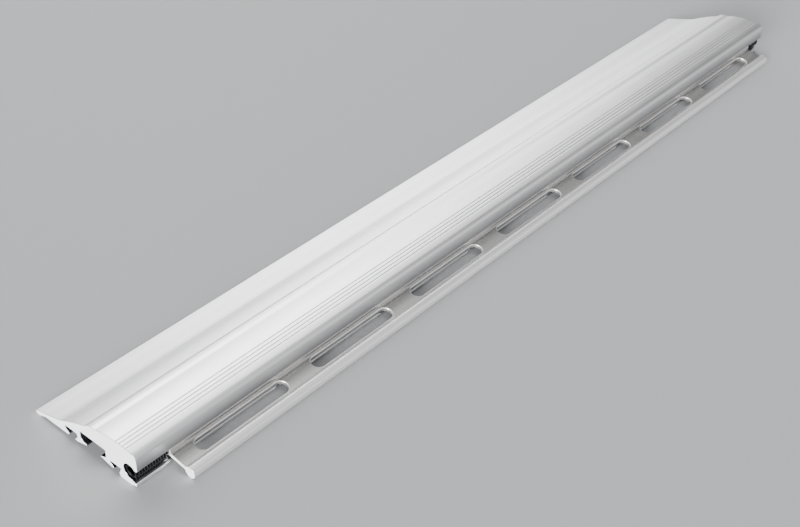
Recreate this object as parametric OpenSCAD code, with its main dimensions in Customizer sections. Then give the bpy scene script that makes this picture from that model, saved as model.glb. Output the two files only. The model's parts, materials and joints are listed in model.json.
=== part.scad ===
// Ramped edge rail with a slotted hinge strip: two aluminium extrusions and two grub screws.
// The rail lies on its feathered tip and its lower lip. The strip's inner bead turns in the round
// socket under the rail's nose, and its outer bead lies on the floor, free for the next rail.
// X runs along the rail, from the near cut end to the far one. The tip is at +Y, the strip at -Y.
// The rail's section is drawn in (s, z): s from the tip towards the nose, z up from the floor.

/* [Strip length and slots] */
// Number of slots punched through the strip
slot_count = 7; // [2:1:12]
// Distance from one slot to the next
slot_pitch = 50; // [44:0.5:80]
// Length of a slot over its round ends
slot_len = 38; // [12:0.5:42]
// Width of a slot
slot_w = 5; // [3:0.1:5.4]
// Plain web between the near end of the strip and its first slot
near_land = 7.3; // [3:0.1:40]
// Plain web between the last slot and the far end of the strip
far_land = 9.7; // [3:0.1:40]

/* [Grub screws] */
// Length of the grub screw at the near end
near_screw_len = 12; // [6:0.5:30]
// Length of the grub screw at the far end
far_screw_len = 8; // [6:0.5:30]
// Room between a screw and the end of the strip
end_play = 0.8; // [0.2:0.1:2]
// Depth of a screw's outer end inside the rail's cut end
screw_inset = 0.4; // [0:0.1:2]
// Distance across the flats of the screws' hexagon sockets
hex_af = 3; // [2:0.5:3.5]
// Depth of the hexagon sockets
hex_depth = 3; // [1.5:0.25:4]
// Bevel at both ends of a screw
screw_bevel = 0.5; // [0.2:0.05:0.8]
// Gap all round a screw in the rail's socket
screw_gap = 0.1; // [0.05:0.01:0.3]

/* [Rail top] */
// Width of the rail, tip to nose
rail_w = 49.5; // [41:0.5:60]
// Height of the dome's crown above the floor
rail_h = 14.2; // [13.4:0.1:16]
// Radius of the feathered tip
tip_r = 0.65; // [0.4:0.05:0.9]
// Length of the flat sole under the tip
toe_len = 1.5; // [0.5:0.1:2.5]
// Place of the rib between ramp and dome, as a share of the rail's width
rib_share = 0.574; // [0.55:0.002:0.6]
// Reach of the rib to both sides of its middle
rib_reach = 2.7; // [1.5:0.1:3.2]
// Rise of the rib over the line between its two edges
rib_rise = 0.6; // [0.2:0.05:0.8]
// Climb over the rib, from the ramp's upper end to the dome
rib_climb = 1.95; // [1.6:0.05:2.3]
// Place of the ramp's bend, as a share of the ramp's distance from tip to rib
bend_share = 0.514; // [0.46:0.002:0.56]
// Height of the ramp's bend, as a share of the ramp's height at the rib
bend_rise = 0.457; // [0.43:0.001:0.47]
// Radius of the hollow at the ramp's bend
hollow_r = 22; // [10:1:40]
// Radius of the slight swell of the ramp above its bend
swell_r = 70; // [50:2:200]
// Place of the dome's crown, as a share of the rail's width
crown_share = 0.848; // [0.82:0.002:0.88]
// Radius of the dome
dome_r = 40; // [34:1:60]
// Number of fine grooves along the dome
groove_count = 4; // [1:1:8]
// Distance from one groove to the next
groove_pitch = 1.5; // [1.1:0.05:2]
// Width of a groove
groove_w = 0.7; // [0.4:0.05:1]
// Depth of a groove
groove_depth = 0.15; // [0.05:0.05:0.3]
// Distance of the last groove behind the nose
groove_back = 4.2; // [3.5:0.1:6]
// Radius of the nose's shoulder
shoulder_r = 2; // [0.8:0.1:2.8]
// Height of the nose's lower edge above the floor
nose_z = 7; // [6.5:0.1:7.2]
// Radius of the nose's lower edge
nose_r = 1.1; // [0.5:0.05:1.3]

/* [Rail underside] */
// Height of the feet and of the ramp's underside above the floor
foot_z = 1.15; // [0.6:0.05:1.6]
// Thickness of the feet's arms and barbs
arm_t = 1.15; // [0.8:0.05:1.3]
// Thickness of the feet's stems
stem_t = 1.85; // [1.2:0.05:2.4]
// Width of a foot's outer barb beyond its stem
barb_w = 1.65; // [0.8:0.05:1.9]
// Height of the wide channel's ceiling above the floor
channel_z = 6.7; // [6:0.1:7.4]
// Width of the wide channel's mouth, as a share of the channel's width inside
mouth_share = 0.55; // [0.4:0.01:0.7]
// Height of the ceiling of the narrow channel on the ramp's side
ramp_channel_z = 4.4; // [4.2:0.05:4.8]
// Place of the ramp's hooked lip, as a share of the rail's width
ramp_share = 0.3435; // [0.32:0.0005:0.36]
// Width of the narrow channel's mouth on the ramp's side
ramp_mouth = 2.45; // [1.5:0.05:3]
// Depth of the slit behind the ramp's hooked lip
ramp_slit = 1.8; // [1:0.1:2.4]
// Height of the ceiling of the narrow channel on the nose's side
nose_channel_z = 3.6; // [3.5:0.05:3.9]
// Width of the narrow channel's mouth on the nose's side
nose_mouth = 2.15; // [1.5:0.05:3]

/* [Hinge] */
// Radius of the round socket under the nose
socket_r = 2.8; // [2.6:0.05:2.9]
// Distance of the socket's axis behind the nose
socket_back = 3.65; // [3.4:0.05:4]
// Height of the socket's axis above the floor
socket_z = 5.3; // [5.2:0.05:5.6]
// Gap all round the strip's inner bead in the socket
bead_gap = 0.2; // [0.1:0.05:0.4]
// Radius of the strip's outer bead
bead_r = 2.15; // [1.7:0.05:2.5]
// Distance between the axes of the strip's two beads, along the web
bead_span = 11.1; // [10.8:0.1:16]
// Thickness of the strip's web
web_t = 1.4; // [1:0.05:1.6]
// Drop of the web's mid-plane below the inner bead's axis
web_drop = 1; // [0.8:0.05:1.2]
// Drop of the outer bead's axis below the web's mid-plane
bead_drop = 0.2; // [0:0.05:0.5]
// Thickness of the rail's lower lip at its round edge
lip_t = 1.3; // [0.9:0.05:1.5]
// Distance of the lower lip's edge behind the nose
lip_back = 1.1; // [0.5:0.05:1.3]
// Length of the lower lip from its heel to its edge
lip_len = 8; // [7.6:0.05:8.6]

/* [Hidden] */
$fn = 64;
cut = 1;

// Lengths along the rail
strip_len = (slot_count - 1) * slot_pitch + slot_len + near_land + far_land;
rail_len = near_screw_len + far_screw_len + 2 * (screw_inset + end_play) + strip_len;
near_x = -rail_len / 2;
far_x = rail_len / 2;
strip_x = near_x + screw_inset + near_screw_len + end_play;

// The strip hangs from the socket's axis and tilts until its outer bead lies on the floor.
socket_s = rail_w - socket_back;
inner_bead_r = socket_r - bead_gap;
screw_r = socket_r - screw_gap;
bead_below = web_drop + bead_drop;
bead_reach = norm([bead_span, bead_below]);
strip_tilt = asin((socket_z - bead_r) / bead_reach) - atan2(bead_below, bead_span);
bead_s = socket_s + bead_span * cos(strip_tilt) - bead_below * sin(strip_tilt);

// The middle of the whole part's width is at Y = 0.
tip_y = (bead_s + bead_r) / 2;
hinge_y = tip_y - socket_s;

// A slot is midway between the two beads, measured on the web's upper face.
web_inner = sqrt(pow(inner_bead_r, 2) - pow(web_drop - web_t / 2, 2));
web_outer = bead_span - sqrt(pow(bead_r, 2) - pow(bead_drop + web_t / 2, 2));
slot_t = (web_inner + web_outer) / 2;

// Points of an arc about c, from angle a0 to angle a1, with steps of about the given angle
function arc(c, r, a0, a1, step) =
    let (n = max(1, round(abs(a1 - a0) / step)))
    [for (i = [0:n]) c + r * [cos(a0 + (a1 - a0) * i / n), sin(a0 + (a1 - a0) * i / n)]];

// The dome, and a point on it at an angle, sunk below its surface by a depth
crown_s = crown_share * rail_w;
dome_c = [crown_s, rail_h - dome_r];
function on_dome(a, depth) = dome_c + (dome_r - depth) * [cos(a), sin(a)];

// A low round rib lies between the ramp and the dome, with a shallow valley on the dome's side.
rib_s = rib_share * rail_w;
rib_end_a = acos((rib_s + rib_reach - crown_s) / dome_r);
rib_to = on_dome(rib_end_a, 0);
rib_from = [rib_s - rib_reach, rib_to.y - rib_climb];
rib_chord = rib_to - rib_from;
rib_half = norm(rib_chord) / 2;
rib_up = [-rib_chord.y, rib_chord.x] / norm(rib_chord);
rib_r = (pow(rib_half, 2) + pow(rib_rise, 2)) / (2 * rib_rise);
rib_c = rib_from + rib_chord / 2 - (rib_r - rib_rise) * rib_up;
rib_a = atan2(rib_up.y, rib_up.x);
rib_turn = asin(rib_half / rib_r);

// The ramp: its lower slope is tangent to the tip and aims at the bend. Its swell is an arc from the
// bend up to the rib, and the hollow is tangent to the lower slope and to the swell.
tip_c = [tip_r, tip_r];
bend = [bend_share * rib_from.x, bend_rise * rib_from.y];
bend_run = bend - tip_c;
low_slope = atan2(bend_run.y, bend_run.x) - asin(tip_r / norm(bend_run));
low_along = [cos(low_slope), sin(low_slope)];
low_up = [-sin(low_slope), cos(low_slope)];
swell_chord = rib_from - bend;
swell_up = [-swell_chord.y, swell_chord.x] / norm(swell_chord);
swell_depth = sqrt(pow(swell_r, 2) - pow(norm(swell_chord) / 2, 2));
swell_c = bend + swell_chord / 2 - swell_depth * swell_up;
hollow_start = tip_c + (tip_r + hollow_r) * low_up;
hollow_off = hollow_start - swell_c;
hollow_side = hollow_off * low_along;
hollow_room = pow(swell_r + hollow_r, 2) - hollow_off * hollow_off;
hollow_c = hollow_start - (hollow_side + sqrt(pow(hollow_side, 2) + hollow_room)) * low_along;
swell_a = atan2(hollow_c.y - swell_c.y, hollow_c.x - swell_c.x);
swell_end_a = atan2(rib_from.y - swell_c.y, rib_from.x - swell_c.x);

// Fine grooves along the dome, counted back from the nose, for grip under a shoe
groove_from = rail_w - groove_back - (groove_count - 1) * groove_pitch;
groove_a = [for (i = [0:groove_count - 1]) acos((groove_from + i * groove_pitch - crown_s) / dome_r)];
groove_half = asin(groove_w / 2 / dome_r);
grooves = [
    for (a = groove_a)
        for (u = [1:-0.5:-1])
            on_dome(a + u * groove_half, groove_depth * (1 - u * u))
];

// The nose: its shoulder is tangent to the dome and to the upright front
shoulder_s = rail_w - shoulder_r;
shoulder_rise = sqrt(pow(dome_r - shoulder_r, 2) - pow(shoulder_s - crown_s, 2));
shoulder_c = [shoulder_s, dome_c.y + shoulder_rise];
shoulder_a = atan2(shoulder_rise, shoulder_s - crown_s);
nose_c = [rail_w - nose_r, nose_z + nose_r];

// Points of the rail's top, from under the tip over the ramp and the dome to under the nose
fine_step = 1;
hollow_step = 2;
rib_step = 4;
round_step = 10;
rail_top = concat(
    arc(tip_c, tip_r, 270, 90 + low_slope, round_step),
    arc(hollow_c, hollow_r, 270 + low_slope, 180 + swell_a, hollow_step),
    arc(swell_c, swell_r, swell_a, swell_end_a, fine_step),
    arc(rib_c, rib_r, rib_a + rib_turn, rib_a - rib_turn, rib_step),
    arc(dome_c, dome_r, rib_end_a, groove_a[0] + groove_half, fine_step),
    grooves,
    arc(dome_c, dome_r, groove_a[groove_count - 1] - groove_half, shoulder_a, fine_step),
    arc(shoulder_c, shoulder_r, shoulder_a, 0, round_step),
    arc(nose_c, nose_r, 0, -90, round_step)
);

// The socket's mouth: from the nose's lower edge through the socket to the foot of its wall
socket_mouth = [
    [socket_s, nose_z],
    [socket_s, socket_z - socket_r + bead_gap]
];

// Lower lip: a round edge below the nose, a sole on the floor and a heel beside the narrow channel
lip_s = rail_w - lip_back;
heel_s = lip_s - lip_len;
lip_c = [lip_s - lip_t / 2, lip_t / 2 + foot_z / 2];
lower_lip = concat(
    arc(lip_c, lip_t / 2, 110, -80, round_step),
    [
        [socket_s, 0],
        [heel_s + arm_t / 2, 0],
        [heel_s, arm_t],
        [heel_s + arm_t, nose_channel_z]
    ]
);

// The wide channel takes the room that the ramp, the lower lip, the feet and the narrow mouths leave.
ramp_lip_s = ramp_share * rail_w;
channel_from = ramp_lip_s + ramp_mouth + barb_w + stem_t;
channel_to = heel_s - nose_mouth - barb_w - stem_t;
channel_s = (channel_from + channel_to) / 2;
channel_w = channel_to - channel_from;
mouth_w = mouth_share * channel_w;

// One foot, from the middle of the wide channel outwards: a barb, a stem, an arm at the mouth
stem_out = channel_w / 2 + stem_t;
foot = [
    [stem_out, foot_z + 1.6 * arm_t],
    [stem_out + barb_w / 2, foot_z + arm_t],
    [stem_out + barb_w, foot_z + arm_t / 5],
    [stem_out, foot_z],
    [mouth_w / 2, foot_z + arm_t],
    [mouth_w / 2, foot_z + 1.4 * arm_t],
    [channel_w / 2 - arm_t / 2, foot_z + 2 * arm_t],
    [channel_w / 2, foot_z + 2.5 * arm_t],
    [channel_w / 2, channel_z]
];
nose_foot = [for (p = foot) [channel_s + p.x, p.y]];
ramp_foot = [for (i = [len(foot) - 1:-1:0]) [channel_s - foot[i].x, foot[i].y]];

// Hooked lip where the ramp ends at the narrow channel, and the ramp's underside down to the flat sole
ramp_slit_s = ramp_lip_s - ramp_slit;
sole_s = tip_r + toe_len;
sole_run = 2.5;
ramp_lip = [
    [ramp_slit_s, ramp_channel_z],
    [ramp_slit_s, foot_z + 2 * arm_t],
    [ramp_lip_s, foot_z + arm_t],
    [ramp_lip_s, foot_z + arm_t / 2],
    [ramp_lip_s - arm_t / 2, foot_z],
    [sole_s + sole_run * foot_z, foot_z],
    [sole_s, 0]
];

// Section of the rail: one outline round the top, the lower lip and the three channels
module rail_section() {
    difference() {
        polygon(concat(
            rail_top,
            socket_mouth,
            lower_lip,
            [[channel_s + stem_out, nose_channel_z]],
            nose_foot,
            ramp_foot,
            [[channel_s - stem_out, ramp_channel_z]],
            ramp_lip
        ));
        translate([socket_s, socket_z]) circle(socket_r);
    }
}

// Section of the strip, lying flat: the inner bead's axis is the origin, the outer bead is at +X
module strip_section() {
    circle(inner_bead_r);
    translate([0, -web_drop - web_t / 2]) square([bead_span, web_t]);
    translate([bead_span, -bead_below]) circle(bead_r);
}

// Outline of one slot, its length along X
module slot_outline() {
    half_run = (slot_len - slot_w) / 2;
    square([2 * half_run, slot_w], center = true);
    for (side = [-1, 1])
        translate([side * half_run, 0]) circle(slot_w / 2);
}

// Carries a section along X from x0 over a length; the section's first axis runs towards -Y
module along_x(x0, length) {
    translate([x0, 0, 0])
        rotate([90, 0, 90])
            linear_extrude(length)
                mirror([1, 0])
                    children();
}

module edge_rail() {
    color("gainsboro")
        translate([0, tip_y, 0])
            along_x(near_x, rail_len)
                rail_section();
}

module hinge_strip() {
    first_slot_x = strip_x + near_land + slot_len / 2;
    color("silver")
        translate([0, hinge_y, socket_z])
            rotate([strip_tilt, 0, 0])
                difference() {
                    along_x(strip_x, strip_len) strip_section();
                    for (k = [0:slot_count - 1])
                        translate([first_slot_x + k * slot_pitch, -slot_t, -web_drop - web_t])
                            linear_extrude(2 * web_t) slot_outline();
                }
}

// A grub screw with its hexagon socket at the origin, driven in along +Z
module grub_screw(length) {
    color("#1b1b1d")
        difference() {
            rotate_extrude()
                polygon([
                    [0, 0],
                    [screw_r - screw_bevel, 0],
                    [screw_r, screw_bevel],
                    [screw_r, length - screw_bevel],
                    [screw_r - screw_bevel, length],
                    [0, length]
                ]);
            translate([0, 0, -cut])
                cylinder(d = hex_af / cos(30), h = hex_depth + cut, $fn = 6);
        }
}

module near_grub_screw() {
    translate([near_x + screw_inset, hinge_y, socket_z])
        rotate([0, 90, 0])
            grub_screw(near_screw_len);
}

module far_grub_screw() {
    translate([far_x - screw_inset, hinge_y, socket_z])
        rotate([0, -90, 0])
            grub_screw(far_screw_len);
}

edge_rail();
hinge_strip();
near_grub_screw();
far_grub_screw();
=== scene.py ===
# %% [markdown]
# # A ramped aluminium edge rail with its slotted hinge strip
# The CAD model is loaded first, as a fixed frame that nothing here moves. Every piece that follows
# is drawn in metres in that same frame, so a piece made from the CAD sizes lands where the CAD part
# is.

# %% Load the frame and keep its box
import json
import math

import bmesh
import bpy
from mathutils import Matrix, Vector


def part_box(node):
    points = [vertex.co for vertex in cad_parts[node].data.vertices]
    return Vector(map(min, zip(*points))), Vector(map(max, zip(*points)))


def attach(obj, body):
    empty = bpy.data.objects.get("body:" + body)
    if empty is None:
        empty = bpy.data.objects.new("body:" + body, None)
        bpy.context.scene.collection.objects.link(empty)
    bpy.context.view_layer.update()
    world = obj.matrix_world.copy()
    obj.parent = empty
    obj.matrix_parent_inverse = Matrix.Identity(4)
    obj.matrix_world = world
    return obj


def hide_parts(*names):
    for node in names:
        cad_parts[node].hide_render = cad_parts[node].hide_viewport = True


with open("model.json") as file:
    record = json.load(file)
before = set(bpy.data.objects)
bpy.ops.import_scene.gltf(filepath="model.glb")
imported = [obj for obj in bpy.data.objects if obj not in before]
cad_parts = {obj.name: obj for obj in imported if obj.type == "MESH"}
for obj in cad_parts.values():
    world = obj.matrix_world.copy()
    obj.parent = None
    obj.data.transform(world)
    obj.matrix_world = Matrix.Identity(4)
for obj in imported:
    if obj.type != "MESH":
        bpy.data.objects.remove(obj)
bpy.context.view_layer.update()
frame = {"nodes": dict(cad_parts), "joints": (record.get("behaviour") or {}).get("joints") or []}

MM = 0.001

# %% [markdown]
# ## Tools of this lesson
# An extrusion is one outline carried along a line. The outline could be typed in again here, but
# then it could drift away from the CAD model. So it is read from the CAD node's own cut end: the
# edges that only one face of that end uses are its border.

# %% Read an outline from a CAD node's cut end
FLAT = 1e-6
SPOT_DIGITS = 7


def stretches(loop):
    """Each point of a closed loop with the point after it."""
    return zip(loop, loop[1:] + loop[:1])


def end_outline(node):
    """The outline of a CAD node's near cut end, as (y, z) points in order."""
    mesh = frame["nodes"][node].data
    near = min(v.co.x for v in mesh.vertices)
    edges = set()
    for face in mesh.polygons:
        corners = [mesh.vertices[i].co for i in face.vertices]
        if any(c.x - near > FLAT for c in corners):
            continue
        spots = [(round(c.y, SPOT_DIGITS), round(c.z, SPOT_DIGITS)) for c in corners]
        edges.update(stretches(spots))
    border = {a: b for a, b in edges if (b, a) not in edges}
    first = min(border)
    outline = [first]
    while border[outline[-1]] != first:
        outline.append(border[outline[-1]])
    return [Vector(p) for p in outline]


rail_outline = end_outline("edge_rail")
print("rail outline:", len(rail_outline), "points")

# %% [markdown]
# A perfectly sharp edge never catches the light, and neither a die nor a file leaves one. A bevel
# modifier could round the finished mesh. Rounding the outline itself gives the same edge all along
# an extrusion, and it leaves the faces in neat long rows.

# %% Take the knife edge off an outline's corners
CORNER_TURN = math.radians(18)
CORNER_STEPS = 4
CORNER_SHARE = 0.45


def softened(outline, radius):
    """The outline with its sharp corners turned into short curves."""
    soft = []
    for i, corner in enumerate(outline):
        back = outline[i - 1] - corner
        ahead = outline[(i + 1) % len(outline)] - corner
        turn = math.pi - back.angle(ahead)
        if turn < CORNER_TURN:
            soft.append(corner)
            continue
        shorter = min(back.length, ahead.length)
        reach = min(radius * math.tan(turn / 2), CORNER_SHARE * shorter)
        start = corner + back.normalized() * reach
        end = corner + ahead.normalized() * reach
        for k in range(CORNER_STEPS + 1):
            u = k / CORNER_STEPS
            soft.append((1 - u) ** 2 * start + 2 * u * (1 - u) * corner + u ** 2 * end)
    return soft


print("a sharp corner becomes", CORNER_STEPS + 1, "points")

# %% Move an outline inwards
LEAST_SCALE = 0.5


def shrunk(outline, inset):
    """The outline moved inwards by a small inset; its points run anticlockwise."""
    moved = []
    for i, point in enumerate(outline):
        before = (point - outline[i - 1]).normalized()
        after = (outline[(i + 1) % len(outline)] - point).normalized()
        inward = Vector((-before.y - after.y, before.x + after.x))
        scale = max(LEAST_SCALE, inward.length_squared / 2)
        moved.append(point + inward * (inset / scale))
    return moved


def signed_area(outline):
    """The area in an outline, above zero if its points run anticlockwise."""
    return sum(a.x * b.y - b.x * a.y for a, b in stretches(outline)) / 2


def anticlockwise(outline):
    """The outline with its points running anticlockwise."""
    return outline if signed_area(outline) > 0 else outline[::-1]


print("rail section", round(abs(signed_area(rail_outline)) / MM ** 2, 1), "square mm")

# %% [markdown]
# Curves and modifiers could make these pieces too. A mesh from a list of corners and a list of
# faces is plainer, and each face can carry its own finish. Points that fall together are joined,
# the faces are turned to look outwards, and flat faces keep flat shading next to rounded edges.

# %% Turn corners and faces into a piece
JOIN = 2e-6
SHARP_TURN = math.radians(38)


def make_piece(name, corners, faces, materials, body, node, record_slot):
    """A closed mesh that stands for a CAD node.

    Each face is a list of corner numbers and the number of its material.
    """
    work = bmesh.new()
    points = [work.verts.new(c) for c in corners]
    for numbers, material in faces:
        face = work.faces.new([points[n] for n in numbers])
        face.material_index = material
        face.smooth = True
    bmesh.ops.remove_doubles(work, verts=work.verts, dist=JOIN)
    bmesh.ops.recalc_face_normals(work, faces=work.faces)
    many_sided = [face for face in work.faces if len(face.verts) > 4]
    bmesh.ops.triangulate(work, faces=many_sided, ngon_method="EAR_CLIP")
    mesh = bpy.data.meshes.new(name)
    work.to_mesh(mesh)
    work.free()
    mesh.set_sharp_from_angle(angle=SHARP_TURN)
    for material in materials:
        mesh.materials.append(material)
    piece = bpy.data.objects.new(name, mesh)
    bpy.context.scene.collection.objects.link(piece)
    even = piece.modifiers.new("even_shading", "WEIGHTED_NORMAL")
    even.keep_sharp = True
    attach(piece, body)
    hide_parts(node)
    print(name, len(mesh.vertices), "corners,", len(mesh.polygons), "faces")


print("edges that turn more than", round(math.degrees(SHARP_TURN)), "degrees stay sharp")

# %% [markdown]
# ## Finishes
# Every finish here is a Principled shader whose tone, gloss and surface follow a few patterns. A
# pattern that several finishes share is a node group: it is built once, and each material sets its
# own values on it. A few small helpers keep the node code short.

# %% Helpers that make nodes and groups
def new_group(name, inputs, outputs):
    """An empty node group with named value inputs and value outputs."""
    group = bpy.data.node_groups.new(name, "ShaderNodeTree")
    for label, value in inputs:
        socket = group.interface.new_socket(label, in_out="INPUT", socket_type="NodeSocketFloat")
        socket.default_value = value
    for label in outputs:
        group.interface.new_socket(label, in_out="OUTPUT", socket_type="NodeSocketFloat")
    return group, group.nodes.new("NodeGroupInput"), group.nodes.new("NodeGroupOutput")


def add(tree, kind, **values):
    """A node of a kind, with its settings and the values of its inputs."""
    node = tree.nodes.new(kind)
    for key, value in values.items():
        if key.startswith("in_"):
            node.inputs[key[3:].replace("_", " ")].default_value = value
        else:
            setattr(node, key, value)
    return node


def new_finish(name, metallic):
    """A material with a Principled shader, its node tree and that shader."""
    material = bpy.data.materials.new(name)
    material.use_nodes = True
    shader = material.node_tree.nodes["Principled BSDF"]
    shader.inputs["Metallic"].default_value = metallic
    return material, material.node_tree, shader


print("helpers:", ", ".join(f.__name__ for f in (new_group, add, new_finish)))

# %% Helpers that work on a pattern
def sum_of(tree, first, second):
    """Two patterns added up."""
    node = add(tree, "ShaderNodeMath", operation="ADD")
    tree.links.new(first, node.inputs[0])
    tree.links.new(second, node.inputs[1])
    return node.outputs["Value"]


def spread(tree, source, low, high, start=0.0, stop=1.0):
    """Maps a value from start and stop to two new ends, and holds it there beyond them."""
    node = add(tree, "ShaderNodeMapRange")
    node.inputs["From Min"].default_value = start
    node.inputs["From Max"].default_value = stop
    node.inputs["To Min"].default_value = low
    node.inputs["To Max"].default_value = high
    tree.links.new(source, node.inputs["Value"])
    return node.outputs["Result"]


def tone_between(tree, mask, dark, light):
    """A colour that goes from dark to light with a mask."""
    node = add(tree, "ShaderNodeMix", data_type="RGBA")
    dark_socket, light_socket = [s for s in node.inputs if s.type == "RGBA"]
    dark_socket.default_value = (*dark, 1)
    light_socket.default_value = (*light, 1)
    tree.links.new(mask, node.inputs["Factor"])
    return next(s for s in node.outputs if s.type == "RGBA")


def raise_surface(tree, shader, height, strength, depth):
    """Lets a pattern raise and sink the surface of a shader."""
    bump = add(tree, "ShaderNodeBump", in_Strength=strength, in_Distance=depth)
    tree.links.new(height, bump.inputs["Height"])
    tree.links.new(bump.outputs["Normal"], shader.inputs["Normal"])


print("helpers:", ", ".join(f.__name__ for f in (sum_of, spread, tone_between, raise_surface)))

# %% [markdown]
# ### Drawn lines
# Extruded aluminium comes out of the die with fine lines along its length. They vary from line to
# line, but each one runs for a long way. A noise that is squeezed across X and stretched along it
# gives both the fine lines and broader bands of more and less gloss. A punch drags its lines the
# other way, across the sheet, so the same group serves the slots with other values.

# %% Group of drawn lines
SKIN_ALONG, SKIN_ACROSS = 6.0, 1800.0
BAND_SCALE = 0.14


def drawn_lines_group():
    group, start, end = new_group(
        "drawn_lines",
        [("Along per metre", SKIN_ALONG), ("Across per metre", SKIN_ACROSS)],
        ["Line", "Band"],
    )
    place = add(group, "ShaderNodeTexCoord")
    squeeze = add(group, "ShaderNodeCombineXYZ")
    group.links.new(start.outputs["Along per metre"], squeeze.inputs["X"])
    group.links.new(start.outputs["Across per metre"], squeeze.inputs["Y"])
    group.links.new(start.outputs["Across per metre"], squeeze.inputs["Z"])
    fine_place = add(group, "ShaderNodeVectorMath", operation="MULTIPLY")
    group.links.new(place.outputs["Object"], fine_place.inputs[0])
    group.links.new(squeeze.outputs["Vector"], fine_place.inputs[1])
    broad_place = add(group, "ShaderNodeVectorMath", operation="SCALE", in_Scale=BAND_SCALE)
    group.links.new(fine_place.outputs["Vector"], broad_place.inputs[0])
    fine = add(group, "ShaderNodeTexNoise", in_Scale=1.0, in_Detail=3.0, in_Roughness=0.65)
    broad = add(group, "ShaderNodeTexNoise", in_Scale=1.0, in_Detail=2.0, in_Roughness=0.5)
    group.links.new(fine_place.outputs["Vector"], fine.inputs["Vector"])
    group.links.new(broad_place.outputs["Vector"], broad.inputs["Vector"])
    group.links.new(fine.outputs["Fac"], end.inputs["Line"])
    group.links.new(broad.outputs["Fac"], end.inputs["Band"])
    return group


drawn_lines = drawn_lines_group()
print("group", drawn_lines.name)

# %% [markdown]
# ### Soft patches
# No metal keeps one even gloss: it is handled, stacked and wiped. A slow noise, the same one for
# all finishes, moves the gloss a little up and down from patch to patch.

# %% Group of soft patches
SKIN_PATCHES = 40.0


def soft_patches_group():
    group, start, end = new_group("soft_patches", [("Patches per metre", SKIN_PATCHES)], ["Patch"])
    place = add(group, "ShaderNodeTexCoord")
    cloud = add(group, "ShaderNodeTexNoise", in_Detail=4.0, in_Roughness=0.55)
    group.links.new(place.outputs["Object"], cloud.inputs["Vector"])
    group.links.new(start.outputs["Patches per metre"], cloud.inputs["Scale"])
    group.links.new(cloud.outputs["Fac"], end.inputs["Patch"])
    return group


soft_patches = soft_patches_group()
print("group", soft_patches.name)

# %% [markdown]
# ### Distance from a line
# Two finishes change with the distance from a line along X: saw marks lie in arcs about the saw's
# axle, and a thread wears at its crests, which stand farthest from its axis. One group measures
# that distance for both.

# %% Group of the distance from a line along X
def line_distance_group():
    group, start, end = new_group("line_distance", [("Line Y", 0.0), ("Line Z", 0.0)], ["Distance"])
    place = add(group, "ShaderNodeTexCoord")
    line = add(group, "ShaderNodeCombineXYZ")
    group.links.new(start.outputs["Line Y"], line.inputs["Y"])
    group.links.new(start.outputs["Line Z"], line.inputs["Z"])
    from_line = add(group, "ShaderNodeVectorMath", operation="SUBTRACT")
    group.links.new(place.outputs["Object"], from_line.inputs[0])
    group.links.new(line.outputs["Vector"], from_line.inputs[1])
    across = add(group, "ShaderNodeVectorMath", operation="MULTIPLY")
    across.inputs[1].default_value = (0, 1, 1)
    group.links.new(from_line.outputs["Vector"], across.inputs[0])
    length = add(group, "ShaderNodeVectorMath", operation="LENGTH")
    group.links.new(across.outputs["Vector"], length.inputs[0])
    group.links.new(length.outputs["Value"], end.inputs["Distance"])
    return group


line_distance = line_distance_group()
print("group", line_distance.name)

# %% [markdown]
# ### Aluminium as it leaves the die
# The skin is nearly plain metal, so its look comes from what it mirrors. The lines and the bands
# change its tone, the bands and the patches its gloss, and the lines also scratch its surface.

# %% Aluminium with drawn lines
STREAK_RANGE = (0.65, 1.35)
SHEEN_RANGE = (0.6, 1.4)
LINE_BUMP = 0.25


def drawn_metal(name, light, dark, gloss, depth, along=SKIN_ALONG, across=SKIN_ACROSS, metal=1.0):
    """Aluminium with drawn lines that change its tone, gloss and surface."""
    material, tree, shader = new_finish(name, metal)
    lines = add(
        tree, "ShaderNodeGroup", node_tree=drawn_lines,
        in_Along_per_metre=along, in_Across_per_metre=across,
    )
    patches = add(tree, "ShaderNodeGroup", node_tree=soft_patches)
    streaks = sum_of(tree, lines.outputs["Line"], lines.outputs["Band"])
    mask = spread(tree, streaks, 0.0, 1.0, *STREAK_RANGE)
    tree.links.new(tone_between(tree, mask, dark, light), shader.inputs["Base Color"])
    sheen = sum_of(tree, lines.outputs["Band"], patches.outputs["Patch"])
    tree.links.new(spread(tree, sheen, *gloss, *SHEEN_RANGE), shader.inputs["Roughness"])
    raise_surface(tree, shader, lines.outputs["Line"], LINE_BUMP, depth)
    print("finish", name)
    return material


# %% Skins of the rail: satin outside, smoother inside with painted shade in the socket and channels
rail_skin = drawn_metal(
    "rail_skin", light=(0.95, 0.95, 0.95), dark=(0.81, 0.81, 0.815),
    gloss=(0.27, 0.37), depth=0.02 * MM,
)
# The darker tone of this skin is painted shade for the socket and the channels.
painted_shade_inside = drawn_metal(
    "painted_shade_inside", light=(0.36, 0.37, 0.40), dark=(0.26, 0.27, 0.30),
    gloss=(0.14, 0.24), depth=0.01 * MM,
)

# %% [markdown]
# The strip's web is greyer than the rail: a warm grey of its own, darkened further with painted
# shade for the hollow between the web and the nose. Its outer bead and the rims of its slots get a
# lighter tone, a painted highlight, on a partly matt skin, and the punched walls below the rims are
# the greyest.

# %% Skins of the strip
# Its own warm grey, darkened with painted shade for the web and inner bead under the nose.
strip_skin = drawn_metal(
    "strip_skin", light=(0.70, 0.692, 0.675), dark=(0.56, 0.552, 0.535),
    gloss=(0.18, 0.27), depth=0.008 * MM, metal=0.91,
)
# A lighter tone, painted highlight, on a rougher and partly matt skin.
painted_highlight_skin = drawn_metal(
    "painted_highlight_skin", light=(0.98, 0.975, 0.965), dark=(0.74, 0.735, 0.725),
    gloss=(0.26, 0.38), depth=0.012 * MM, metal=0.74,
)
punched_wall = drawn_metal(
    "punched_wall", light=(0.52, 0.515, 0.505), dark=(0.34, 0.335, 0.325),
    gloss=(0.30, 0.42), depth=0.01 * MM, along=2500.0, across=250.0, metal=0.75,
)

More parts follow.
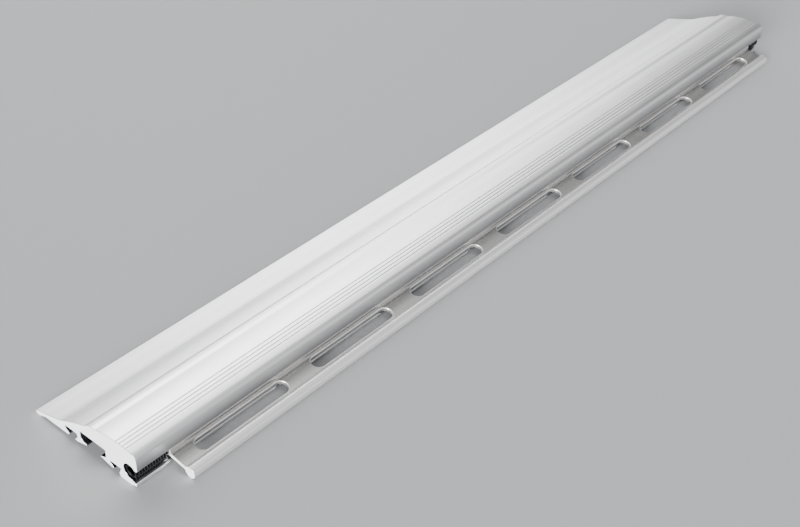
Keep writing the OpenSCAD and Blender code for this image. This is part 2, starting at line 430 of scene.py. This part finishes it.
# %% [markdown]
# ### Sawn ends
# A saw blade leaves shallow arcs, all about its axle, which is well outside the part. The distance
# from that axle, fed into a noise, gives arcs of uneven depth. The fresh cut is matt and nearly
# white, so this metal is rough and only a little mirror-like.

# %% Sawn aluminium
SAW_AXLE_Y, SAW_AXLE_Z = 50 * MM, 140 * MM
SAW_LINES = 2200.0
ARC_RANGE = (0.25, 0.75)
SAWN_DARK, SAWN_LIGHT = (0.86, 0.86, 0.86), (0.96, 0.96, 0.96)
SAWN_GLOSS = (0.45, 0.6)
SAWN_METALLIC = 0.2
SAWN_PATCHES = 120.0
ARC_BUMP, ARC_DEPTH = 0.3, 0.02 * MM


def sawn_metal():
    """Freshly sawn aluminium, with arcs about the saw's axle."""
    material, tree, shader = new_finish("sawn_end", SAWN_METALLIC)
    from_axle = add(
        tree, "ShaderNodeGroup", node_tree=line_distance,
        in_Line_Y=SAW_AXLE_Y, in_Line_Z=SAW_AXLE_Z,
    )
    arcs = add(
        tree, "ShaderNodeTexNoise", noise_dimensions="1D", in_Scale=SAW_LINES, in_Detail=3.0
    )
    tree.links.new(from_axle.outputs["Distance"], arcs.inputs["W"])
    mask = spread(tree, arcs.outputs["Fac"], 0.0, 1.0, *ARC_RANGE)
    tree.links.new(tone_between(tree, mask, SAWN_DARK, SAWN_LIGHT), shader.inputs["Base Color"])
    patches = add(
        tree, "ShaderNodeGroup", node_tree=soft_patches, in_Patches_per_metre=SAWN_PATCHES
    )
    tree.links.new(spread(tree, patches.outputs["Patch"], *SAWN_GLOSS), shader.inputs["Roughness"])
    raise_surface(tree, shader, arcs.outputs["Fac"], ARC_BUMP, ARC_DEPTH)
    return material


sawn_end = sawn_metal()
print("finish", sawn_end.name)

# %% [markdown]
# ### Black oxide
# The screws are blackened steel. The black rubs off first on the crests of the thread, so a bare
# steel tone comes in with the distance from the screw's axis, which is also the hinge's axis.

# %% Blackened steel
hinge = Vector(frame["joints"][0]["pos_m"])
thread_crest_r = 2.72 * MM
WORN_FROM = thread_crest_r - 0.06 * MM
OXIDE_TONE, BARE_TONE = (0.005, 0.005, 0.006), (0.10, 0.10, 0.105)
OXIDE_GLOSS = (0.28, 0.5)
OXIDE_METALLIC = 0.8
OXIDE_PATCHES = 900.0


def blackened_steel():
    """Black oxide on steel, rubbed bare on the crests of a thread."""
    material, tree, shader = new_finish("black_oxide", OXIDE_METALLIC)
    from_axis = add(
        tree, "ShaderNodeGroup", node_tree=line_distance, in_Line_Y=hinge.y, in_Line_Z=hinge.z
    )
    worn = spread(tree, from_axis.outputs["Distance"], 0.0, 1.0, WORN_FROM, thread_crest_r)
    tree.links.new(tone_between(tree, worn, OXIDE_TONE, BARE_TONE), shader.inputs["Base Color"])
    patches = add(
        tree, "ShaderNodeGroup", node_tree=soft_patches, in_Patches_per_metre=OXIDE_PATCHES
    )
    tree.links.new(spread(tree, patches.outputs["Patch"], *OXIDE_GLOSS), shader.inputs["Roughness"])
    return material


black_oxide = blackened_steel()
print("finish", black_oxide.name)

# %% [markdown]
# ## The rail
# The rail is one extrusion, sawn off square. A curve with this outline as its profile would draw
# it, but with knife edges at its ends. So its skin runs through rings of the outline along X, and
# at each end a few rings shrink round a quarter turn. That gives the sawn edge a hair of rounding,
# as a file leaves it.

# %% Round an end and skin the rings
EDGE = 0.1 * MM
EDGE_STEPS = 3
# Numbers of a piece's materials: skin, sawn end, inside of a channel or slot,
# bead or rim with a painted highlight
SKIN, SAWN, INSIDE, HIGHLIGHT = range(4)


def edge_rings(outline, x_end, inward):
    """Rings of (x, outline) that round an end's edge, from the end face to the full outline."""
    rings = []
    for k in range(EDGE_STEPS + 1):
        turn = math.pi / 2 * k / EDGE_STEPS
        x = x_end + inward * EDGE * (1 - math.cos(turn))
        rings.append((x, shrunk(outline, EDGE * (1 - math.sin(turn)))))
    return rings


def sweep_rings(rings, finish_of):
    """Corners and faces of a skin through rings of (x, outline), with a face at both ends."""
    count = len(rings[0][1])
    corners = [(x, p.x, p.y) for x, outline in rings for p in outline]
    last = len(corners) - count
    faces = []
    for base in range(0, last, count):
        for i in range(count):
            j = (i + 1) % count
            faces.append(([base + i, base + j, base + count + j, base + count + i], finish_of[i]))
    faces.append((list(range(count))[::-1], SAWN))
    faces.append((list(range(last, last + count)), SAWN))
    return corners, faces


print("sawn edges are rounded by", EDGE / MM, "mm")

# %% [markdown]
# The dome has four fine grooves. On the real rail they are softer than a crisp drawing of them, so
# their points are lifted a little towards the dome before all corners are softened.

# %% Soften the rail's outline
dome_r = 40 * MM
crown_share = 0.848
groove_depth = 0.15 * MM
GROOVE_LEFT = 0.8
RAIL_CORNER = 0.2 * MM

rail_low, rail_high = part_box("edge_rail")
crown_y = rail_high.y - crown_share * (rail_high.y - rail_low.y)
dome_centre = Vector((crown_y, rail_high.z - dome_r))


def worn_groove(point):
    """A point of a groove in the dome, lifted to leave the groove shallower; others stay."""
    out = point - dome_centre
    depth = dome_r - out.length
    if out.y < 0 or not FLAT < depth < groove_depth + FLAT:
        return point
    return dome_centre + out.normalized() * (dome_r - GROOVE_LEFT * depth)


rail_soft = anticlockwise(softened([worn_groove(p) for p in rail_outline], RAIL_CORNER))
print("softened rail outline:", len(rail_soft), "points")

# %% [markdown]
# The socket and the channels get a smoother inside with a darker tone, painted shade for these
# hollows. A stretch of the outline counts as inside where it lies close round the hinge axis, or
# well under the rail's top between the outer walls of the channels.

# %% Choose the finish of each stretch
SOCKET_REACH = 3.3 * MM
CHANNEL_FROM, CHANNEL_TO = 15.5 * MM, 41.5 * MM
UNDER_TOP = 1.0 * MM
ABOVE_FLOOR = 1.3 * MM


def top_above(y):
    """The height of the rail's top at a place across it."""
    heights = []
    for a, b in stretches(rail_soft):
        if min(a.x, b.x) <= y <= max(a.x, b.x) and a.x != b.x:
            heights.append(a.y + (b.y - a.y) * (y - a.x) / (b.x - a.x))
    return max(heights)


def stretch_finish(a, b):
    """Skin outside, and the inside with painted shade in the socket and the channels."""
    middle = (a + b) / 2
    if (middle - Vector((hinge.y, hinge.z))).length < SOCKET_REACH:
        return INSIDE
    from_tip = rail_high.y - middle.x
    covered = top_above(middle.x) - middle.y > UNDER_TOP and middle.y > ABOVE_FLOOR
    return INSIDE if covered and CHANNEL_FROM < from_tip < CHANNEL_TO else SKIN


rail_finish = [stretch_finish(a, b) for a, b in stretches(rail_soft)]
print(rail_finish.count(INSIDE), "of", len(rail_finish), "stretches are in the socket or a channel")

# %% [markdown]
# Low on the nose's front, a mask of the height and of the distance from the front mixes a darker
# tone in. That tone is painted shade; the same mask also makes the skin there rougher.

# %% Paint shade low on the nose's front
NOSE_SHADE_TONE = (0.33, 0.33, 0.34)
NOSE_SHADE_FULL, NOSE_SHADE_END = 8.5 * MM, 12.8 * MM
NOSE_SHADE_BACK = 1.0 * MM
DULL_ROUGHER = 0.25


def paint_nose_shade(material):
    """Mixes painted shade and more roughness into a finish, low on the nose's front."""
    tree = material.node_tree
    shader = tree.nodes["Principled BSDF"]
    bright = shader.inputs["Base Color"].links[0].from_socket
    gloss = shader.inputs["Roughness"].links[0].from_socket
    place = add(tree, "ShaderNodeTexCoord")
    parts = add(tree, "ShaderNodeSeparateXYZ")
    tree.links.new(place.outputs["Object"], parts.inputs["Vector"])
    low = spread(tree, parts.outputs["Z"], 1.0, 0.0, NOSE_SHADE_FULL, NOSE_SHADE_END)
    front = spread(tree, parts.outputs["Y"], 1.0, 0.0, rail_low.y, rail_low.y + NOSE_SHADE_BACK)
    mask = add(tree, "ShaderNodeMath", operation="MULTIPLY")
    tree.links.new(low, mask.inputs[0])
    tree.links.new(front, mask.inputs[1])
    mix = add(tree, "ShaderNodeMix", data_type="RGBA")
    bright_socket, shade_socket = [s for s in mix.inputs if s.type == "RGBA"]
    shade_socket.default_value = (*NOSE_SHADE_TONE, 1)
    tree.links.new(bright, bright_socket)
    tree.links.new(mask.outputs["Value"], mix.inputs["Factor"])
    tree.links.new(next(s for s in mix.outputs if s.type == "RGBA"), shader.inputs["Base Color"])
    rougher = add(tree, "ShaderNodeMath", operation="MULTIPLY_ADD")
    rougher.inputs[1].default_value = DULL_ROUGHER
    tree.links.new(mask.outputs["Value"], rougher.inputs[0])
    tree.links.new(gloss, rougher.inputs[2])
    tree.links.new(rougher.outputs["Value"], shader.inputs["Roughness"])


# The nose's front gets painted shade and a rougher skin below this height.
paint_nose_shade(rail_skin)
print("the nose's front is dull below", round(NOSE_SHADE_END / MM, 1), "mm")

# %% Make the rail
rail_rings = edge_rings(rail_soft, rail_low.x, 1) + edge_rings(rail_soft, rail_high.x, -1)[::-1]
make_piece(
    "rail", *sweep_rings(rail_rings, rail_finish), [rail_skin, sawn_end, painted_shade_inside],
    "rail", "edge_rail", "rail_aluminium",
)

# %% [markdown]
# ## The hinge strip
# The strip is a thin web between two round beads. It hangs in the socket by its inner bead and lies
# on the floor with its outer one, so the whole section is tilted about the hinge axis. It is drawn
# level here, and each point is tilted as it is placed.

# %% Sizes of the strip, as in the CAD model
inner_bead_r = 2.6 * MM
outer_bead_r = 2.15 * MM
bead_span = 11.1 * MM
web_t = 1.4 * MM
web_drop = 1.0 * MM
bead_drop = 0.2 * MM
slot_count = 7
slot_pitch = 50 * MM
slot_len = 38 * MM
slot_w = 5 * MM
near_land = 7.3 * MM

strip_low, strip_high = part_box("hinge_strip")
bead_below = web_drop + bead_drop
tilt = math.asin((hinge.z - outer_bead_r) / math.hypot(bead_span, bead_below))
tilt -= math.atan2(bead_below, bead_span)
web_top = -web_drop + web_t / 2
web_bottom = -web_drop - web_t / 2
print("strip tilt", round(math.degrees(tilt), 2), "degrees")

# %% Place a point of the strip
def strip_point(x, t, n):
    """A point of the strip: t across from the hinge axis, n above it, before the tilt."""
    y = -t * math.cos(tilt) - n * math.sin(tilt)
    z = -t * math.sin(tilt) + n * math.cos(tilt)
    return (x, hinge.y + y, hinge.z + z)


def inner_meet(n):
    """How far across a face of the web, at height n, meets the inner bead."""
    return math.sqrt(inner_bead_r ** 2 - n ** 2)


def outer_meet(n):
    """How far across a face of the web, at height n, meets the outer bead."""
    return bead_span - math.sqrt(outer_bead_r ** 2 - (n + bead_below) ** 2)


slot_t = (inner_meet(web_top) + outer_meet(web_top)) / 2
print("the slots lie", round(slot_t / MM, 2), "mm across from the hinge axis")

# %% [markdown]
# A face with a hole in it is awkward to shade, and cutting the slots with booleans leaves ragged
# triangles. So the web is parted into one cell for each slot. A cell is a band of four-sided faces
# between the slot's ring and the cell's border, which has one point for each point of the ring.

# %% Rings round a slot and its cell
half_run = (slot_len - slot_w) / 2
SIDE_STEPS = 14
ARC_STEPS = 16
CORNER_RUN = ARC_STEPS // 4


def slot_ring(x, grow):
    """Points round a slot in (x, t), anticlockwise from the start of its inner side."""
    r = slot_w / 2 + grow
    ring = [
        (x - half_run + 2 * half_run * i / SIDE_STEPS, slot_t - r) for i in range(SIDE_STEPS)
    ]
    for i in range(ARC_STEPS):
        a = math.pi * (i / ARC_STEPS - 0.5)
        ring.append((x + half_run + r * math.cos(a), slot_t + r * math.sin(a)))
    return ring + [(2 * x - px, 2 * slot_t - pt) for px, pt in ring]


def cell_ring(x, x0, x1, t0, t1):
    """Points round a slot's cell of the web, one for each point of the slot's ring."""
    ring = []
    end_run = 2 * CORNER_RUN
    for end, t_from, t_to, way in ((x1, t0, t1, 1), (x0, t1, t0, -1)):
        corner = x + way * half_run
        ring += [
            (x + way * half_run * (2 * i / SIDE_STEPS - 1), t_from) for i in range(SIDE_STEPS)
        ]
        ring += [(corner + (end - corner) * i / CORNER_RUN, t_from) for i in range(CORNER_RUN)]
        ring += [(end, t_from + (t_to - t_from) * i / end_run) for i in range(end_run)]
        ring += [(end + (corner - end) * i / CORNER_RUN, t_to) for i in range(CORNER_RUN)]
    return ring


print(len(slot_ring(0, 0)), "points round a slot")

# %% [markdown]
# The slots are punched from above. The punch drags the upper edge down a little, so each slot has a
# soft rounded rim above its grey wall, and a smaller rim below. The upper rim gets the skin with
# the painted highlight.

# %% Levels down a slot's wall
RIM_TOP = 0.35 * MM
RIM_BOTTOM = 0.12 * MM
RIM_STEPS = 4


def rim_levels():
    """(grow, n) of the rings down a slot's wall, from the web's upper face to its lower one."""
    turns = [math.pi / 2 * k / RIM_STEPS for k in range(RIM_STEPS + 1)]
    upper = [
        (RIM_TOP * (1 - math.sin(a)), web_top - RIM_TOP * (1 - math.cos(a))) for a in turns
    ]
    lower = [
        (RIM_BOTTOM * (1 - math.cos(a)), web_bottom + RIM_BOTTOM * (1 - math.sin(a))) for a in turns
    ]
    return upper + lower


print(len(rim_levels()), "rings down each slot's wall")

# %% The web with its punched slots
strip_corners, strip_faces = [], []
web_from = strip_low.x + EDGE
web_to = strip_high.x - EDGE
slot_x = [strip_low.x + near_land + slot_len / 2 + k * slot_pitch for k in range(slot_count)]


def bridge(first, second, material, corners, faces):
    """Adds a band of faces between two rings of points."""
    base, count = len(corners), len(first)
    corners.extend(first + second)
    for i in range(count):
        j = (i + 1) % count
        faces.append(([base + i, base + j, base + count + j, base + count + i], material))


def cell_ends(k):
    """Where the cell of a slot starts and ends along X."""
    x0 = web_from if k == 0 else slot_x[k] - slot_pitch / 2
    x1 = web_to if k == slot_count - 1 else slot_x[k] + slot_pitch / 2
    return x0, x1


for k, x in enumerate(slot_x):
    rings = [
        [strip_point(px, pt, n) for px, pt in slot_ring(x, grow)] for grow, n in rim_levels()
    ]
    for n, ring in ((web_top, rings[0]), (web_bottom, rings[-1])):
        cell = cell_ring(x, *cell_ends(k), inner_meet(n), outer_meet(n))
        border = [strip_point(px, pt, n) for px, pt in cell]
        bridge(border, ring, SKIN, strip_corners, strip_faces)
    for step, (upper, lower) in enumerate(zip(rings, rings[1:])):
        wall = HIGHLIGHT if step < RIM_STEPS else INSIDE
        bridge(upper, lower, wall, strip_corners, strip_faces)
print(len(slot_x), "slots, first at", round(slot_x[0] / MM, 1), "mm")

# %% [markdown]
# Each bead is the rest of its circle, from one face of the web round to the other. Its rows stand
# at the same places along X as the points of the web's border, so that the points fall together
# and the mesh closes.

# %% The beads
BEAD_STEPS = 44
ROW_DIGITS = 9
TURN = 2 * math.pi


def bead_arc(t, n, r, a0, a1):
    """Points on a bead's circle, from one angle to another."""
    angles = [a0 + (a1 - a0) * i / BEAD_STEPS for i in range(BEAD_STEPS + 1)]
    return [Vector((t + r * math.cos(a), n + r * math.sin(a))) for a in angles]


inner_from = math.atan2(web_top, inner_meet(web_top))
inner_to = math.atan2(web_bottom, inner_meet(web_bottom)) + TURN
outer_from = math.atan2(web_bottom + bead_below, outer_meet(web_bottom) - bead_span) + TURN
outer_to = math.atan2(web_top + bead_below, outer_meet(web_top) - bead_span) + TURN
inner_arc = bead_arc(0, 0, inner_bead_r, inner_from, inner_to)
outer_arc = bead_arc(bead_span, -bead_below, outer_bead_r, outer_from, outer_to)

rows = set()
for k, x in enumerate(slot_x):
    border = cell_ring(x, *cell_ends(k), 0, 1)
    rows.update(round(px, ROW_DIGITS) for px, pt in border if pt in (0, 1))
rows = sorted(rows)
# The outer bead gets the skin with painted highlight, the inner bead the one with painted shade.
for arc, finish in ((inner_arc, SKIN), (outer_arc, HIGHLIGHT)):
    base, count = len(strip_corners), len(arc)
    for x in rows:
        strip_corners.extend(strip_point(x, p.x, p.y) for p in arc)
    for row in range(len(rows) - 1):
        for i in range(count - 1):
            a = base + row * count + i
            strip_faces.append(([a, a + 1, a + count + 1, a + count], finish))
print("beads of", BEAD_STEPS, "steps in", len(rows), "rows")

# %% The strip's sawn ends
def web_line(n):
    """The inner points of a face of the web in the strip's section, from the inner bead on."""
    steps = 2 * CORNER_RUN
    start, run = inner_meet(n), outer_meet(n) - inner_meet(n)
    return [Vector((start + run * i / steps, n)) for i in range(1, steps)]


strip_section = inner_arc + web_line(web_bottom) + outer_arc + web_line(web_top)[::-1]
for x_end, inward in ((strip_low.x, 1), (strip_high.x, -1)):
    rings = [
        [strip_point(x, *p) for p in outline]
        for x, outline in edge_rings(strip_section, x_end, inward)
    ]
    for first, second in zip(rings, rings[1:]):
        bridge(first, second, SKIN, strip_corners, strip_faces)
    cap = len(strip_corners)
    strip_corners.extend(rings[0])
    strip_faces.append((list(range(cap, len(strip_corners))), SAWN))
make_piece(
    "strip", strip_corners, strip_faces, [strip_skin, sawn_end, punched_wall, painted_highlight_skin],
    "strip", "hinge_strip", "strip_aluminium",
)

# %% [markdown]
# ## The grub screws
# Two headless screws close the socket past the ends of the strip. A thread could be bump in a
# material, but its outline shows here. So it is a surface whose radius rises and falls along the
# axis, with the wave shifted by one pitch for each turn.

# %% Thread and hexagon of a grub screw
thread_depth = 0.55 * MM
thread_pitch = 1.0 * MM
screw_bevel = 0.5 * MM
ROOT_FROM = 0.875
FLANK_SHARE = 0.7


def thread_radius(along, length, turn):
    """The screw's radius at a place along its axis and an angle round it."""
    wave = abs(2 * ((along / thread_pitch - turn / TURN) % 1) - 1)
    crest = min(1, max(0, (ROOT_FROM - wave) / FLANK_SHARE))
    bevel = thread_crest_r - screw_bevel + min(along, length - along)
    return min(thread_crest_r - thread_depth * (1 - crest), bevel)


def hexagon(turn, flats):
    """The radius of a hexagon at an angle."""
    return flats / 2 / math.cos((turn + math.pi / 6) % (math.pi / 3) - math.pi / 6)


print("thread of", thread_pitch / MM, "mm pitch,", round(2 * thread_crest_r / MM, 2), "mm across")

# %% [markdown]
# One skin makes the whole screw: from the drilled point at the bottom of the hexagon up its walls,
# out over the rim, along the thread, and into the cup at the other end.

# %% Make the grub screws
hex_flats = 3.0 * MM
hex_depth = 3.0 * MM
LEAD_WIDER, LEAD_DEPTH = 0.3 * MM, 0.15 * MM
DRILL_POINT = 0.6 * MM
CUP_R, CUP_DEPTH = 1.0 * MM, 0.4 * MM
TURN_STEPS = 48
PITCH_STEPS = 10
turns = [TURN * i / TURN_STEPS for i in range(TURN_STEPS)]


def grub_screw(name, node, way):
    """A grub screw in place of a CAD node, with its hexagon facing out of the rail."""
    low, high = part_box(node)
    length = high.x - low.x
    x_out = low.x if way > 0 else high.x

    def ring(along, radius):
        return [
            (x_out + way * along, hinge.y + way * r * math.cos(a), hinge.z + r * math.sin(a))
            for a, r in zip(turns, radius)
        ]

    middle = [FLAT] * TURN_STEPS
    socket = [hexagon(a, hex_flats) for a in turns]
    rings = [
        ring(hex_depth + DRILL_POINT, middle),
        ring(hex_depth, socket),
        ring(LEAD_DEPTH, socket),
        ring(0, [hexagon(a, hex_flats + LEAD_WIDER) for a in turns]),
    ]
    steps = round(length / thread_pitch * PITCH_STEPS)
    for k in range(steps + 1):
        along = length * k / steps
        rings.append(ring(along, [thread_radius(along, length, a) for a in turns]))
    rings.append(ring(length - CUP_DEPTH, [CUP_R] * TURN_STEPS))
    rings.append(ring(length - CUP_DEPTH, middle))
    corners, faces = [], []
    for first, second in zip(rings, rings[1:]):
        bridge(first, second, SKIN, corners, faces)
    make_piece(name, corners, faces, [black_oxide], "rail", node, "black_screw")


grub_screw("near_screw", "near_grub_screw", 1)
grub_screw("far_screw", "far_grub_screw", -1)

# %% [markdown]
# ## Floor, light and camera
# The floor is a plain pale sheet, wide enough that no view shows its edge. It is part of the stage,
# not of the object.

# %% Floor
FLOOR_HALF = 20.0
FLOOR_TONE = (0.38, 0.384, 0.391, 1)
FLOOR_ROUGHNESS = 0.7
floor_corners = [
    (x * FLOOR_HALF, y * FLOOR_HALF, 0) for x, y in ((-1, -1), (1, -1), (1, 1), (-1, 1))
]
floor_mesh = bpy.data.meshes.new("floor")
floor_mesh.from_pydata(floor_corners, [], [(0, 1, 2, 3)])
floor = bpy.data.objects.new("floor", floor_mesh)
bpy.context.scene.collection.objects.link(floor)
floor_paint, _, floor_shader = new_finish("floor_paint", 0.0)
floor_shader.inputs["Base Color"].default_value = FLOOR_TONE
floor_shader.inputs["Roughness"].default_value = FLOOR_ROUGHNESS
floor_mesh.materials.append(floor_paint)
print("floor", 2 * FLOOR_HALF, "m wide")

# %% [markdown]
# Bare metal shows what stands round it, so soft light matters more here than its finish. Panels
# would leave their edges in the satin skin. A dome without edges does better: a dim, even base and
# a few wide lobes of light, each bright in one direction and fading smoothly away from it. The key
# lobe stands behind and above the part, as the long soft shine over the ramp and the dome shows. A
# strong, low one lights the sawn near end.

# %% Soft studio light
DIM_BASE = 0.10
DOME_TONE = (0.985, 0.99, 1.0, 1)
# name, direction, strength, tightness
LIGHT_LOBES = [
    ("key", (0.439, 0.645, 0.625), 7.9, 26.0),
    ("low_right", (0.714, 0.700, 0.020), 1.9, 40.0),
    ("overhead", (0.050, -0.100, 0.990), 2.5, 14.0),
    ("front", (0.620, -0.780, 0.020), 1.1, 14.0),
    ("front_high", (0.400, -0.650, 0.640), 0.7, 8.0),
    ("low_back", (0.564, 0.825, 0.020), 4.8, 33.0),
    ("near_end", (-0.955, -0.280, 0.090), 84.0, 30.0),
]


def studio_dome():
    """A world lit by a dim base and a sum of lobes, each exp(tightness * (cosine - 1))."""
    world = bpy.data.worlds.new("studio_dome")
    bpy.context.scene.world = world
    world.use_nodes = True
    tree = world.node_tree
    place = add(tree, "ShaderNodeTexCoord")
    total = add(tree, "ShaderNodeMath", operation="ADD")
    total.inputs[0].default_value = DIM_BASE
    total.inputs[1].default_value = 0.0
    for name, way, strength, tightness in LIGHT_LOBES:
        cosine = add(tree, "ShaderNodeVectorMath", operation="DOT_PRODUCT", label=name)
        cosine.inputs[1].default_value = Vector(way).normalized()
        tree.links.new(place.outputs["Generated"], cosine.inputs[0])
        fall = add(tree, "ShaderNodeMath", operation="MULTIPLY_ADD")
        fall.inputs[1].default_value = tightness
        fall.inputs[2].default_value = -tightness
        tree.links.new(cosine.outputs["Value"], fall.inputs[0])
        lobe = add(tree, "ShaderNodeMath", operation="EXPONENT")
        tree.links.new(fall.outputs["Value"], lobe.inputs[0])
        joined = add(tree, "ShaderNodeMath", operation="MULTIPLY_ADD")
        joined.inputs[1].default_value = strength
        tree.links.new(lobe.outputs["Value"], joined.inputs[0])
        tree.links.new(total.outputs["Value"], joined.inputs[2])
        total = joined
    background = tree.nodes["Background"]
    background.inputs["Color"].default_value = DOME_TONE
    tree.links.new(total.outputs["Value"], background.inputs["Strength"])


studio_dome()
print("light:", ", ".join(lobe[0] for lobe in LIGHT_LOBES))

# %% [markdown]
# The camera stands where the part's edges and slots line up with the picture it is drawn from. A
# tracking constraint could turn it towards the part, but would lose that line-up. So its place, the
# way it looks and its focal length in pixels are set as numbers.

# %% Camera
PHOTO_W, PHOTO_H = 800, 527
SENSOR_W = 36
NEAREST = 0.01
focal_px = 1259.6
camera_place = Vector((-336.28, -239.49, 273.16)) * MM
camera_right = Vector((0.65137, -0.75850, 0.01984))
camera_ahead = Vector((0.61674, 0.51403, -0.59616))
camera_up = camera_right.cross(camera_ahead)
camera_data = bpy.data.cameras.new("camera")
camera_data.sensor_fit = "HORIZONTAL"
camera_data.sensor_width = SENSOR_W
camera_data.lens = focal_px * SENSOR_W / PHOTO_W
camera_data.clip_start = NEAREST
camera = bpy.data.objects.new("camera", camera_data)
bpy.context.scene.collection.objects.link(camera)
axes = Matrix((camera_right, camera_up, -camera_ahead)).transposed()
camera.matrix_world = Matrix.Translation(camera_place) @ axes.to_4x4()
bpy.context.scene.camera = camera
print("lens", round(camera_data.lens, 1), "mm for", PHOTO_W, "by", PHOTO_H)
